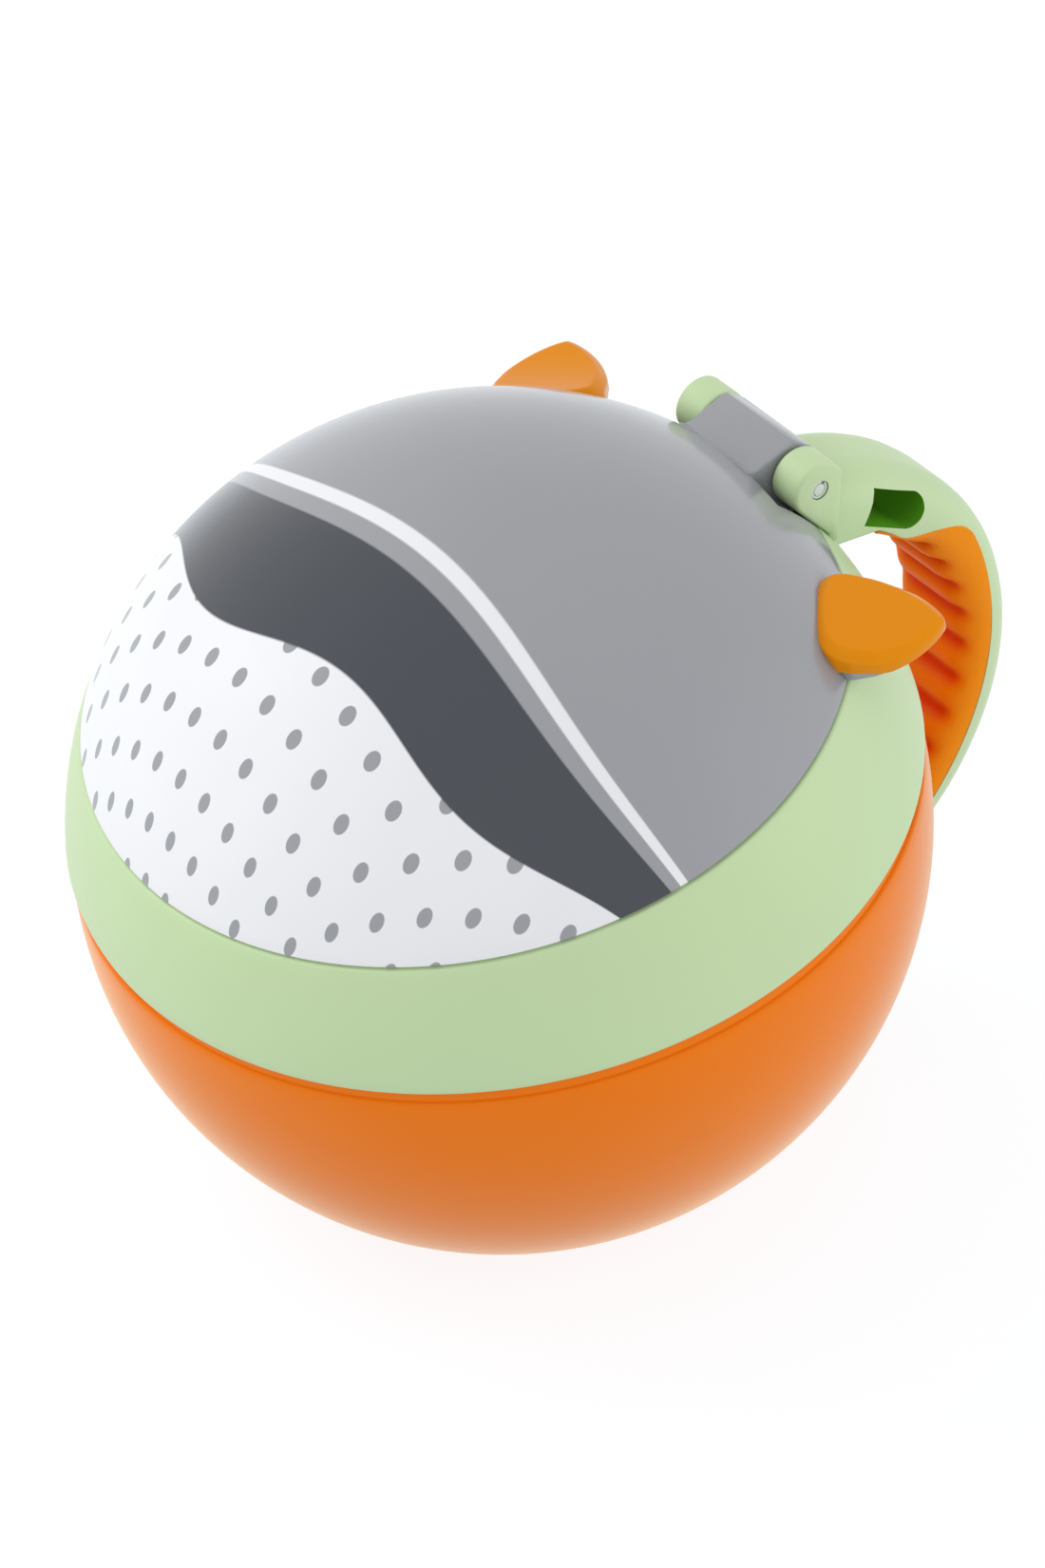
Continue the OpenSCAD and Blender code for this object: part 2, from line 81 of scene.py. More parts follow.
class SnackSizes(bpy.types.PropertyGroup):
    """Sizes of the container. Heights of bowl, collar and lid are above the ball's centre, in leaning frames"""
    ball_r: length("Ball radius", "Outer radius of the ball that lid and collar share", 48)
    ball_z: length("Ball height", "Height of the ball's centre above the table", 42.661)
    bowl_lean: angle("Bowl seam tilt", "Forward tilt of the seam between bowl and collar", 10)
    lid_lean: angle("Lid seam tilt", "Forward tilt of the seam between collar and lid", 13)
    bowl_r: length("Bowl radius", "Outer radius of the bowl, a little less than the ball's", 47.5)
    bowl_wall: length("Bowl wall", "Thickness of the walls of bowl and neck", 2.4)
    bowl_floor: length("Bowl floor", "Thickness of the bowl's floor", 2.6)
    bowl_top: length("Bowl edge", "Height of the bowl's outer edge", 5.55)
    band_r: length("Band radius", "Radius of the recessed band under the collar", 46.75)
    shoulder: length("Shoulder", "Height of the bowl's shoulder", 7.15)
    neck_r: length("Neck radius", "Outer radius of the bowl's neck", 41.546)
    neck_top: length("Neck rim", "Height of the neck's rim", 13)
    neck_low: length("Neck foot", "Height where the neck's inside meets the bowl's", 4.75)
    collar_low: length("Collar foot", "Height of the collar's lower edge", 7.4)
    collar_top: length("Collar top", "Height of the collar's upper edge", 22.75)
    skirt_r: length("Skirt radius", "Inner radius of the collar's skirt", 42.996)
    mouth_r: length("Mouth radius", "Radius of the collar's mouth, which takes the lid's ring", 39.19)
    shelf_r: length("Shelf radius", "Inner radius of the collar's shelf, which holds the insert", 36.5)
    shelf_low: length("Shelf height", "Height of the shelf's underside", 15)
    lid_low: length("Lid rim", "Height of the lid's rim", 23.05)
    lid_wall: length("Lid wall", "Thickness of the lid's dome", 2.2)
    plug_r: length("Plug radius", "Outer radius of the lid's plug ring", 38.675)
    plug_wall: length("Plug wall", "Thickness of the plug ring", 1.8)
    plug_low: length("Plug depth", "Height of the plug ring's lower edge", 19.7)
    pin_y: length("Pin depth", "Distance of the hinge pin behind the ball's centre", 34.603)
    pin_z: length("Pin height", "Height of the hinge pin above the ball's centre", 36.315)
    pin_r: length("Pin radius", "Outer radius of the hinge pin", 1.1)
    knuckle_r: length("Knuckle radius", "Radius of the hinge knuckles", 3.3)
    lid_knuckle: length("Lid knuckle width", "Width of the lid's knuckle and ramp", 12)
    hinge_half: length("Half hinge width", "Distance from the middle to the hinge's outer face", 10.75)
    hinge_gap: length("Hinge gap", "Clearance round the collar's hinge legs", 0.35)
    leg_back: length("Leg back", "Distance of the hinge legs' back face behind the ball's centre", 37.703)
    handle_w: length("Handle width", "Width of the handle", 14)
    handle_edge: length("Handle rounding", "Rounding of the handle's outer edges", 4.6)
    slot_long: length("Slot length", "Length of the strap slot", 8.6)
    slot_high: length("Slot height", "Height of the strap slot", 4.3)
    rib_count: IntProperty(name="Rib count", description="Number of finger ribs on the grip", default=12, min=4)
    rib_depth: length("Rib depth", "Depth of the grooves between the ribs", 1.0)
    dot_pitch: length("Dot pitch", "Spacing of the printed dots", 7.2)
    dot_r: length("Dot radius", "Radius of a printed dot", 1.15)


class SnackColours(bpy.types.PropertyGroup):
    """Colours of the container's plastics, print and rubber"""
    bowl: colour("Bowl", "Bright orange plastic of the bowl", 242, 122, 4)
    collar: colour("Collar", "Pale green plastic of the collar and handle", 195, 218, 169)
    grip: colour("Grip", "Deep orange rubber of the handle's grip", 244, 146, 14)
    # painted shade: this dark green is blended into the narrow hollows of collar and handle where ambient
    # occlusion finds them
    slot: colour("Collar hollow shade", "Deep green of the narrow hollows in collar and handle", 34, 96, 2)
    # painted shade: the strap slot's walls are painted this darker green in place of the collar's pale green
    slot_wall_shade: colour("Slot walls", "Green of the strap slot's walls, where light reaches them", 92, 162, 36)
    # painted shade: deep orange painted into the grip's grooves and, a quarter of the way, across the middle of
    # its face
    groove_shade: colour("Grip groove shade", "Deep orange of the valleys between the ribs", 214, 62, 0)
    insert: colour("Insert", "Orange rubber of the soft flaps", 236, 140, 62)
    lid: colour("Lid", "Mid-grey plastic of the lid", 151, 153, 158)
    charcoal: colour("Dark print", "Dark band of the lid's print", 50, 55, 64)
    white: colour("White print", "White layer of the lid's print", 236, 237, 240)
    ear: colour("Lug caps", "Amber plastic of the lid's two lugs", 232, 142, 4)
    pin: colour("Pin", "Steel of the hinge pin", 206, 212, 202)


def mm(*lengths):
    """Lengths in millimetres, as profiles and outlines take them."""
    return [value / MM for value in lengths]


def clamp(value):
    """A value kept from 0 to 1."""
    return max(0, min(1, value))


def ease(value):
    """A smooth step from 0 to 1 while the value runs from 0 to 1."""
    t = clamp(value)
    return t * t * (3 - 2 * t)


# ---------------------------------------------------------------- mesh helpers

def ball_point(sizes, lean, x, y, z):
    """A point given from the ball's centre, in a frame that leans forward about the X axis."""
    point = Matrix.Rotation(lean, 3, "X") @ Vector((x, y, z))
    return point + Vector((0, 0, sizes.ball_z))


def rounded(bm, edges, radius, segments=3, clamp_overlap=False):
    """Rounds edges of a mesh."""
    bmesh.ops.bevel(bm, geom=edges, offset=radius, offset_type="OFFSET", segments=segments, profile=0.5,
                    affect="EDGES", clamp_overlap=clamp_overlap, material=-1)


def lathe(sizes, profile, steps=192, closed=False):
    """Spins a profile about the ball's axis. Each profile point is (lean in degrees, height and radius
    from the ball's centre in millimetres, rounding); its ring then leans about the ball's centre."""
    bm = bmesh.new()
    ring = bm.verts.layers.int.new("ring")
    chain = [bm.verts.new((r * MM, 0, h * MM)) for _, h, r, _ in profile]
    for k, vert in enumerate(chain):
        vert[ring] = k
    edges = [bm.edges.new(pair) for pair in zip(chain, chain[1:])]
    if closed:
        edges.append(bm.edges.new((chain[-1], chain[0])))
    bmesh.ops.spin(bm, geom=chain + edges, cent=(0, 0, 0), axis=(0, 0, 1), angle=TURN, steps=steps, use_merge=True)
    bmesh.ops.remove_doubles(bm, verts=bm.verts, dist=WELD)
    for k, (_, _, _, rounding) in enumerate(profile):
        if rounding:
            rim = [e for e in bm.edges if e.verts[0][ring] == k and e.verts[1][ring] == k]
            rounded(bm, rim, rounding * MM)
    for vert in bm.verts:
        vert.co = ball_point(sizes, math.radians(profile[vert[ring]][0]), *vert.co)
    bmesh.ops.recalc_face_normals(bm, faces=bm.faces)
    return bm


def zone(radius, start, end, rings, lean_start, lean_end):
    """Profile points on a sphere from one height to another, without the two ends."""
    a, b = math.asin(start / radius), math.asin(end / radius)
    points = []
    for k in range(1, rings):
        t = k / rings
        points.append((lean_start + (lean_end - lean_start) * t, radius * math.sin(a + (b - a) * t),
                       radius * math.cos(a + (b - a) * t), 0))
    return points


def on_ball(radius, height):
    """Radius of a sphere's circle at a height above its centre."""
    return math.sqrt(radius * radius - height * height)


def sweep(sections):
    """Extrudes a closed outline from section to section, and caps both ends. Sections are equally long."""
    bm = bmesh.new()
    place = bm.verts.layers.int.new("place")
    ring = [bm.verts.new(point) for point in sections[0]]
    for k, vert in enumerate(ring):
        vert[place] = k
    loop = [bm.edges.new((ring[k - 1], ring[k])) for k in range(len(ring))]
    bmesh.ops.contextual_create(bm, geom=loop)
    for section in sections[1:]:
        made = bmesh.ops.extrude_edge_only(bm, edges=loop)["geom"]
        ring = {g for g in made if isinstance(g, bmesh.types.BMVert)}
        loop = [g for g in made if isinstance(g, bmesh.types.BMEdge) and set(g.verts) <= ring]
        for vert in ring:
            vert.co = section[vert[place]]
    bmesh.ops.contextual_create(bm, geom=loop)
    bmesh.ops.remove_doubles(bm, verts=bm.verts, dist=WELD)
    bmesh.ops.recalc_face_normals(bm, faces=bm.faces)
    return bm


def from_pin(sizes, *places):
    """Points of the side view (y, z from the ball's centre, in metres), given in millimetres from the pin."""
    return [(sizes.pin_y + dy * MM, sizes.pin_z + dz * MM) for dy, dz in places]


def pin_arc(sizes, radius, start, end, steps):
    """Points of an arc about the hinge pin in the side view, from one direction in degrees to another."""
    points = []
    for k in range(steps + 1):
        turn = math.radians(start + (end - start) * k / steps)
        points.append((sizes.pin_y + radius * math.cos(turn), sizes.pin_z + radius * math.sin(turn)))
    return points


def pin_circle(sizes, radius):
    """A whole circle about the hinge pin in the side view."""
    return pin_arc(sizes, radius, 0, 352.5, 47)


def side_prism(sizes, outline, x0, x1, rounding=0.0, segments=3):
    """Extrudes a side view (y, z from the ball's centre, in metres) from x0 to x1 and rounds its two rims."""
    bm = bmesh.new()
    verts = [bm.verts.new((x0, y, z + sizes.ball_z)) for y, z in outline]
    face = bm.faces.new(verts)
    made = bmesh.ops.extrude_face_region(bm, geom=[face])["geom"]
    moved = [g for g in made if isinstance(g, bmesh.types.BMVert)]
    bmesh.ops.translate(bm, verts=moved, vec=(x1 - x0, 0, 0))
    bmesh.ops.recalc_face_normals(bm, faces=bm.faces)
    if rounding:
        rims = [e for e in bm.edges if abs(e.verts[0].co.x - e.verts[1].co.x) < 1e-7]
        rounded(bm, rims, rounding, segments)
    return bm


def merged(*parts):
    """Puts several meshes into the first one."""
    first = parts[0]
    for other in parts[1:]:
        mesh = bpy.data.meshes.new("part")
        other.to_mesh(mesh)
        first.from_mesh(mesh)
        other.free()
        bpy.data.meshes.remove(mesh)
    return first


def linked(name, data):
    """A new object in the scene."""
    obj = bpy.data.objects.new(name, data)
    bpy.context.scene.collection.objects.link(obj)
    return obj


def carve(bm, cutter):
    """Takes a cutter out of a mesh with Blender's exact boolean, and returns the result."""
    objects = []
    for source in (bm, cutter):
        mesh = bpy.data.meshes.new("carve")
        source.to_mesh(mesh)
        source.free()
        objects.append(linked("carve", mesh))
    modifier = objects[0].modifiers.new("Carve", "BOOLEAN")
    modifier.operation, modifier.solver, modifier.object = "DIFFERENCE", "EXACT", objects[1]
    made = bpy.data.meshes.new_from_object(objects[0].evaluated_get(bpy.context.evaluated_depsgraph_get()))
    result = bmesh.new()
    result.from_mesh(made)
    for obj in objects:
        mesh = obj.data
        bpy.data.objects.remove(obj)
        bpy.data.meshes.remove(mesh)
    bpy.data.meshes.remove(made)
    return result


def finished(name, bm, material, body, node, sharp=35, inner=None):
    """Makes the object that takes a CAD node's place: shades it smooth up to an angle in degrees and lets it
    ride on its CAD body. Inner is a second material and a test that tells which polygons take it."""
    mesh = bpy.data.meshes.new(name)
    bm.to_mesh(mesh)
    bm.free()
    mesh.shade_smooth()
    mesh.set_sharp_from_angle(angle=math.radians(sharp))
    mesh.materials.append(material)
    if inner:
        mesh.materials.append(inner[0])
        for polygon in mesh.polygons:
            polygon.material_index = int(inner[1](polygon))
    obj = linked(name, mesh)
    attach(obj, body)
    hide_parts(node)


def dress(node, material):
    """Gives a CAD node's own mesh a material."""
    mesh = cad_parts[node].data
    mesh.materials.clear()
    mesh.materials.append(material)


# ---------------------------------------------------------------- materials

def add(tree, kind, inputs=None, **settings):
    """Adds a shader node. An input takes a value, or the socket that feeds it."""
    made = tree.nodes.new("ShaderNode" + kind)
    for name, value in settings.items():
        setattr(made, name, value)
    for key, value in (inputs or {}).items():
        if isinstance(value, bpy.types.NodeSocket):
            tree.links.new(value, made.inputs[key])
        else:
            made.inputs[key].default_value = value
    return made


def maths(tree, operation, *values):
    """The result of a maths node."""
    return add(tree, "Math", dict(enumerate(values)), operation=operation).outputs[0]


def blend(tree, mask, below, above):
    """Covers one colour with another where the mask says so."""
    return add(tree, "Mix", {"Factor": mask, "A": below, "B": above}, data_type="RGBA").outputs["Result"]


def ramp(tree, value, start, end):
    """Runs from 0 to 1 while the value runs from start to end."""
    return add(tree, "MapRange", {"Value": value, "From Min": start, "From Max": end}).outputs["Result"]


def seen_level(tree, unseen, seen):
    """One level where the camera or a shiny or clear thing looks, and another for the light that is thrown."""
    path = add(tree, "LightPath").outputs
    looks = maths(tree, "MAXIMUM", path["Is Camera Ray"],
                  maths(tree, "MAXIMUM", path["Is Glossy Ray"], path["Is Transmission Ray"]))
    return add(tree, "MapRange", {"Value": looks, "To Min": unseen, "To Max": seen}).outputs["Result"]


def group_tree(name, inputs, outputs):
    """An empty shader node group with named sockets, each given as (name, kind)."""
    tree = bpy.data.node_groups.new(name, "ShaderNodeTree")
    for way, sockets in (("INPUT", inputs), ("OUTPUT", outputs)):
        for label, kind in sockets:
            tree.interface.new_socket(name=label, in_out=way, socket_type="NodeSocket" + kind)
    return tree, tree.nodes.new("NodeGroupInput").outputs, tree.nodes.new("NodeGroupOutput").inputs


def moulded_surface():
    """Fine grain of a mould and the slow waviness of a moulded wall, with a small change of gloss and colour."""
    name = "Moulded Surface"
    if name in bpy.data.node_groups:
        return bpy.data.node_groups[name]
    tree, given, result = group_tree(
        name,
        [("Vector", "Vector"), ("Grain Scale", "Float"), ("Grain Height", "Float"), ("Wave Height", "Float"),
         ("Roughness", "Float"), ("Colour", "Color")],
        [("Height", "Float"), ("Roughness", "Float"), ("Colour", "Color")])

    def noise(**settings):
        return add(tree, "TexNoise", {"Vector": given["Vector"], **settings}).outputs["Fac"]

    grain = noise(Scale=given["Grain Scale"], Detail=2.0, Roughness=0.6)
    wave = noise(Scale=28.0, Detail=1.0)
    drift = maths(tree, "SUBTRACT", noise(Scale=75.0, Detail=3.0), 0.5)
    height = maths(tree, "ADD", maths(tree, "MULTIPLY", grain, given["Grain Height"]),
                   maths(tree, "MULTIPLY", wave, given["Wave Height"]))
    rough = maths(tree, "ADD", given["Roughness"], maths(tree, "MULTIPLY", drift, 0.06))
    value = maths(tree, "ADD", 1.0, maths(tree, "MULTIPLY", drift, 0.03))
    shade = add(tree, "HueSaturation", {"Color": given["Colour"], "Value": value}).outputs["Color"]
    for label, socket in (("Height", height), ("Roughness", rough), ("Colour", shade)):
        tree.links.new(socket, result[label])
    return tree


# How open a place is, by ambient occlusion, where the painted shade in hollows starts and where it is full
SHADE_FROM, SHADE_FULL = 0.85, 0.25


def plastic(name, base, rough, grain=(900.0, 0.3), wave=1.0, bump=0.02, deep=None, **shader):
    """A moulded plastic or rubber on Object coordinates. Grain is (scale, height). Deep is (colour, distance)
    for painted shade, a darker colour blended into narrow hollows found by ambient occlusion, or (colour, name)
    where the piece's own attribute of that name says how strong the painted shade is. Shader holds further
    Principled values."""
    if name in bpy.data.materials:
        return bpy.data.materials[name]
    material = bpy.data.materials.new(name)
    material.use_nodes = True
    tree = material.node_tree
    principled = tree.nodes["Principled BSDF"]
    surface = add(tree, "Group", {
        "Vector": add(tree, "TexCoord").outputs["Object"], "Grain Scale": grain[0], "Grain Height": grain[1],
        "Wave Height": wave, "Roughness": rough, "Colour": (*base, 1)}, node_tree=moulded_surface()).outputs
    relief = add(tree, "Bump", {"Height": surface["Height"], "Strength": bump, "Distance": MM})
    tree.links.new(relief.outputs["Normal"], principled.inputs["Normal"])
    tree.links.new(surface["Roughness"], principled.inputs["Roughness"])
    shade = surface["Colour"]
    # painted shade: a darker colour blended over the surface in hollows, by ambient occlusion or by the piece's
    # attribute
    if deep:
        if isinstance(deep[1], str):
            hollow = add(tree, "Attribute", attribute_name=deep[1]).outputs["Fac"]
        else:
            near = add(tree, "AmbientOcclusion", {"Distance": deep[1]}, samples=8, only_local=True)
            hollow = ramp(tree, near.outputs["AO"], SHADE_FROM, SHADE_FULL)
        shade = blend(tree, hollow, shade, (*deep[0], 1))
    tree.links.new(shade, principled.inputs["Base Color"])
    for label, value in shader.items():
        principled.inputs[label.replace("_", " ")].default_value = value
    return material


def collar_plastic(colours):
    """The satin green plastic that collar and handle share, with painted shade in its narrow hollows."""
    return plastic("Collar plastic", colours.collar, 0.4, grain=(1400.0, 0.5), wave=0.8, bump=0.05,
                   deep=(colours.slot, 5 * MM), Specular_IOR_Level=0.5)


# The print, in degrees down from the dome's top towards the front: the thin white line's two edges, the upper
# edge of the dark band and that of the white front. Waves are (count, height in degrees, shift).
LINE_FROM, LINE_TO, BAND_FROM, FRONT_FROM = 4.0, 6.2, 9.0, 25.0
BAND_WAVE, FRONT_WAVE = (5.0, 1.6, 0.6), (7.0, 2.6, 0.0)
# Half the blur of the print's edges in degrees, and of the dots' edges in millimetres
EDGE_BLUR, DOT_BLUR = 0.22, 0.08
# The middle of the dotted plane in degrees, and the height of a staggered row as a share of the pitch
DOTS_AT, ROW_SHARE = 47, 0.866


def layered_print():
    """The lid's print: a white front layer with staggered dots under a waved dark band and a thin white line."""
    name = "Layered Print"
    if name in bpy.data.node_groups:
        return bpy.data.node_groups[name]
    tree, given, result = group_tree(
        name,
        [("Vector", "Vector"), ("Base", "Color"), ("Dark", "Color"), ("White", "Color"),
         ("Ball Radius", "Float"), ("Dot Pitch", "Float"), ("Dot Radius", "Float")],
        [("Colour", "Color")])
    vector, base, dark, white, ball, pitch, dot = (given[label] for label in (
        "Vector", "Base", "Dark", "White", "Ball Radius", "Dot Pitch", "Dot Radius"))

    def calc(operation, *values):
        return maths(tree, operation, *values)

    def split(socket):
        return add(tree, "SeparateXYZ", {"Vector": socket}).outputs

    def edge(value, at, blur):
        step = add(tree, "MapRange", {"Value": value, "From Min": at - blur, "From Max": at + blur},
                   interpolation_type="SMOOTHSTEP")
        return step.outputs["Result"]

    x, y, z = split(vector)
    across = calc("ARCSINE", calc("DIVIDE", x, ball))
    down = calc("MULTIPLY", calc("ARCTAN2", calc("MULTIPLY", y, -1.0), z), math.degrees(1))

    def waved(count, height, shift):
        turn = calc("SINE", calc("ADD", calc("MULTIPLY", across, count), shift))
        return calc("ADD", down, calc("MULTIPLY", turn, height))

    # staggered rows of dots, on a plane wrapped round the front of the dome
    front = add(tree, "VectorRotate", {"Vector": vector, "Angle": math.radians(DOTS_AT)}, rotation_type="X_AXIS")
    way = add(tree, "VectorMath", {0: front.outputs["Vector"]}, operation="NORMALIZE")
    fx, fy, fz = split(way.outputs[0])
    aside = calc("SQRT", calc("SUBTRACT", 1.0, calc("MULTIPLY", fz, fz)))
    spread = calc("DIVIDE", calc("MULTIPLY", calc("ARCCOSINE", fz), ball), calc("MAXIMUM", aside, 1e-4))
    row_h = calc("MULTIPLY", pitch, ROW_SHARE)
    rows = calc("DIVIDE", calc("MULTIPLY", fy, spread), row_h)
    stagger = calc("MULTIPLY", calc("FLOORED_MODULO", calc("FLOOR", rows), 2.0), 0.5)
    columns = calc("ADD", calc("DIVIDE", calc("MULTIPLY", fx, spread), pitch), stagger)
    cell_x = calc("MULTIPLY", calc("SUBTRACT", calc("FRACT", columns), 0.5), pitch)
    cell_y = calc("MULTIPLY", calc("SUBTRACT", calc("FRACT", rows), 0.5), row_h)
    far = calc("SQRT", calc("ADD", calc("MULTIPLY", cell_x, cell_x), calc("MULTIPLY", cell_y, cell_y)))
    dots = edge(calc("SUBTRACT", dot, far), 0.0, DOT_BLUR)

    band = waved(*BAND_WAVE)
    line = calc("SUBTRACT", edge(band, LINE_FROM, EDGE_BLUR), edge(band, LINE_TO, EDGE_BLUR))
    picture = blend(tree, line, base, white)
    picture = blend(tree, edge(band, BAND_FROM, EDGE_BLUR), picture, dark)
    dotted = blend(tree, dots, white, base)
    picture = blend(tree, edge(waved(*FRONT_WAVE), FRONT_FROM, EDGE_BLUR), picture, dotted)
    tree.links.new(picture, result["Colour"])
    return tree


def printed_plastic(sizes, colours):
    """The lid's glossy grey plastic with its print, which covers only the outside of the dome."""
    material = plastic("Lid plastic", colours.lid, 0.22, wave=1.2, bump=0.03, Coat_Weight=0.35,
                       Coat_Roughness=0.08, Specular_IOR_Level=0.5)
    tree = material.node_tree
    surface = next(node for node in tree.nodes if node.type == "GROUP")
    ball, pitch, dot = mm(sizes.ball_r, sizes.dot_pitch, sizes.dot_r)
    base = (*colours.lid, 1)
    # millimetres from the ball's centre, in the lid's leaning frame
    centre = Matrix.Rotation(-sizes.lid_lean, 3, "X") @ Vector((0, 0, -sizes.ball_z / MM))
    local = add(tree, "Mapping", {"Vector": add(tree, "TexCoord").outputs["Object"], "Location": centre,
                                  "Rotation": (-sizes.lid_lean, 0, 0), "Scale": (1 / MM,) * 3}).outputs["Vector"]
    art = add(tree, "Group", {
        "Vector": local, "Base": base, "Dark": (*colours.charcoal, 1), "White": (*colours.white, 1),
        "Ball Radius": ball, "Dot Pitch": pitch, "Dot Radius": dot}, node_tree=layered_print())
    # only the outer skin of the dome carries ink, neither its inside nor the ramp above it
    reach = add(tree, "VectorMath", {0: local}, operation="LENGTH").outputs["Value"]
    mask = maths(tree, "MULTIPLY", ramp(tree, reach, ball - 0.8, ball - 0.6),
                 ramp(tree, reach, ball + 0.15, ball + 0.1))
    tree.links.new(blend(tree, mask, base, art.outputs["Colour"]), surface.inputs["Colour"])
    return material


# ---------------------------------------------------------------- pieces

class Piece:
    """Shared by the operators that make a piece"""
    bl_options = {"REGISTER", "UNDO"}

    def values(self, context):
        return context.scene.snack_sizes, context.scene.snack_colours


# The twist lock's lugs: how many, their span in degrees, and their height and reach in millimetres
LUG_COUNT, LUG_SPAN, LUG_HIGH, LUG_REACH = 4, 24, 1.9, 1.1


def twist_lugs(sizes, r_in, r_out, low):
    """The lugs of the twist lock, between two radii, standing in the bowl's leaning frame."""
    bm = bmesh.new()
    for k in range(LUG_COUNT):
        start = math.radians(k * 360 / LUG_COUNT - LUG_SPAN / 2)
        box = [(r_in, low), (r_out, low), (r_out, low + LUG_HIGH), (r_in, low + LUG_HIGH)]
        verts = [bm.verts.new((r * MM * math.cos(start), r * MM * math.sin(start), h * MM)) for r, h in box]
        face = bm.faces.new(verts)
        bmesh.ops.spin(bm, geom=[face], cent=(0, 0, 0), axis=(0, 0, 1), angle=math.radians(LUG_SPAN), steps=8)
    for vert in bm.verts:
        vert.co = ball_point(sizes, sizes.bowl_lean, *vert.co)
    bmesh.ops.recalc_face_normals(bm, faces=bm.faces)
    return bm


class SNACK_OT_bowl(Piece, bpy.types.Operator):
    """Make the bowl: base, ball wall, recessed band, shoulder, neck and twist lugs"""
    bl_idname = "snack.bowl"
    bl_label = "Bowl"

    def execute(self, context):
        sizes, colours = self.values(context)
        outer, wall, floor, edge = mm(sizes.bowl_r, sizes.bowl_wall, sizes.bowl_floor, sizes.bowl_top)
        band, shoulder, neck = mm(sizes.band_r, sizes.shoulder, sizes.neck_r)
        rim, foot = mm(sizes.neck_top, sizes.neck_low)
        low, lean, inner = -sizes.ball_z / MM, math.degrees(sizes.bowl_lean), outer - wall
        profile = [(0, low, 0, 0), (0, low, on_ball(outer, low), 0.9)]
        profile += zone(outer, low, edge, 34, 0, lean)
        profile += [(lean, edge, on_ball(outer, edge), 0.3), (lean, edge + 0.05, band, 0),
                    (lean, shoulder, band - 0.15, 0.15), (lean, shoulder, neck, 0), (lean, rim, neck, 0.4),
                    (lean, rim, neck - wall, 0.4), (lean, foot, neck - wall, 0.5),
                    (lean, foot, on_ball(inner, foot), 0)]
        profile += zone(inner, foot, low + floor, 26, lean, 0)
        profile += [(0, low + floor, on_ball(inner, low + floor), 1.5), (0, low + floor, 0, 0)]
        bm = merged(lathe(sizes, profile), twist_lugs(sizes, neck - 0.496, neck + LUG_REACH, rim - 2.2))
        gloss = plastic("Bowl plastic", colours.bowl, 0.2, wave=1.2, bump=0.03, Specular_IOR_Level=0.14,
                        Sheen_Weight=0.5, Sheen_Roughness=0.45, Sheen_Tint=(1.0, 0.62, 0.2, 1.0))
        finished("Bowl", bm, gloss, "bowl", "bowl")
        return {"FINISHED"}


# A hinge leg in the side view, from the pin: the direction in degrees where its knuckle ends and its front
# face runs straight down, and its lower front corner in millimetres
LEG_TURN, LEG_TOE = 221.3, ((1.3, -6.46), (-0.2, -7.8))


class SNACK_OT_collar(Piece, bpy.types.Operator):
    """Make the collar: the ball's green band with its mouth, shelf, twist lugs and two hinge legs"""
    bl_idname = "snack.collar"
    bl_label = "Collar"

    def execute(self, context):
        sizes, colours = self.values(context)
        ball, foot, top, skirt = mm(sizes.ball_r, sizes.collar_low, sizes.collar_top, sizes.skirt_r)
        mouth, shelf, under = mm(sizes.mouth_r, sizes.shelf_r, sizes.shelf_low)
        lean, lid_lean = math.degrees(sizes.bowl_lean), math.degrees(sizes.lid_lean)
        profile = [(lean, foot, on_ball(ball, foot), 0.35)]
        profile += zone(ball, foot, top, 12, lean, lid_lean)
        profile += [(lid_lean, top, on_ball(ball, top), 0.25), (lid_lean, top, mouth, 0.3),
                    (lid_lean, under + 2.2, mouth, 0), (lean, under + 1.8, shelf, 0.4), (lean, under, shelf, 0.4),
                    (lean, under, skirt, 0), (lean, foot, skirt, 0.4)]
        ring = lathe(sizes, profile, closed=True)
        legs = [self.leg(sizes, side) for side in (-1, 1)]
        bm = merged(ring, *legs, twist_lugs(sizes, skirt - LUG_REACH, skirt + 0.404, foot + 0.6))
        finished("Collar", bm, collar_plastic(colours), "collar", "collar")
        return {"FINISHED"}

    def leg(self, sizes, side):
        """A hinge leg with the pin's bore."""
        back = sizes.leg_back
        start = math.degrees(math.acos((back - sizes.pin_y) / sizes.knuckle_r))
        toe = from_pin(sizes, *LEG_TOE)
        outline = pin_arc(sizes, sizes.knuckle_r, start, LEG_TURN, 40) + toe + [(back, toe[-1][1])]
        inner, outer = sizes.lid_knuckle / 2 + sizes.hinge_gap, sizes.hinge_half
        leg = side_prism(sizes, outline, side * inner, side * outer, 0.45 * MM)
        bore = pin_circle(sizes, sizes.pin_r + 0.06 * MM)
        return carve(leg, side_prism(sizes, bore, side * (inner - MM), side * (outer + MM)))


# The handle in the side view, in millimetres from the ball's centre: the curve that the fingers touch and the
# outer curve, each as centre (y, z) and radius. Directions are in degrees, as seen from the inner centre.
INSIDE, OUTSIDE = (31.4, 2.5, 29.6), (36.0, 0.5, 32.6)
# Directions of the grip's upper end, of the handle's lower end, and where and how fast the grip thins out
PAD_TOP, HANDLE_END, PAD_JOIN, PAD_TURN = 54.5, -52.0, 27.0, 19.0
# Radius of the grip's bed, how far the grip's face comes in towards its upper end, and its least thickness
BED, PAD_LIFT, PAD_THIN = 33.1, 3.8, 0.3
# Height of the arm's underside at the hinge legs, and radius and edge rounding of the bead at the lower end
ARM_UNDER, BEAD_R, BEAD_EDGE = 24.44, 3.65, 2.8
# Middle of the strap slot from the pin, and its lean in degrees
SLOT_AT, SLOT_LEAN = (14.6, -10.7), -25


def polar(a, r):
    """A point of the side view in direction a, at distance r from the inner curve's centre."""
    return Vector((INSIDE[0] + r * math.cos(math.radians(a)), INSIDE[1] + r * math.sin(math.radians(a))))


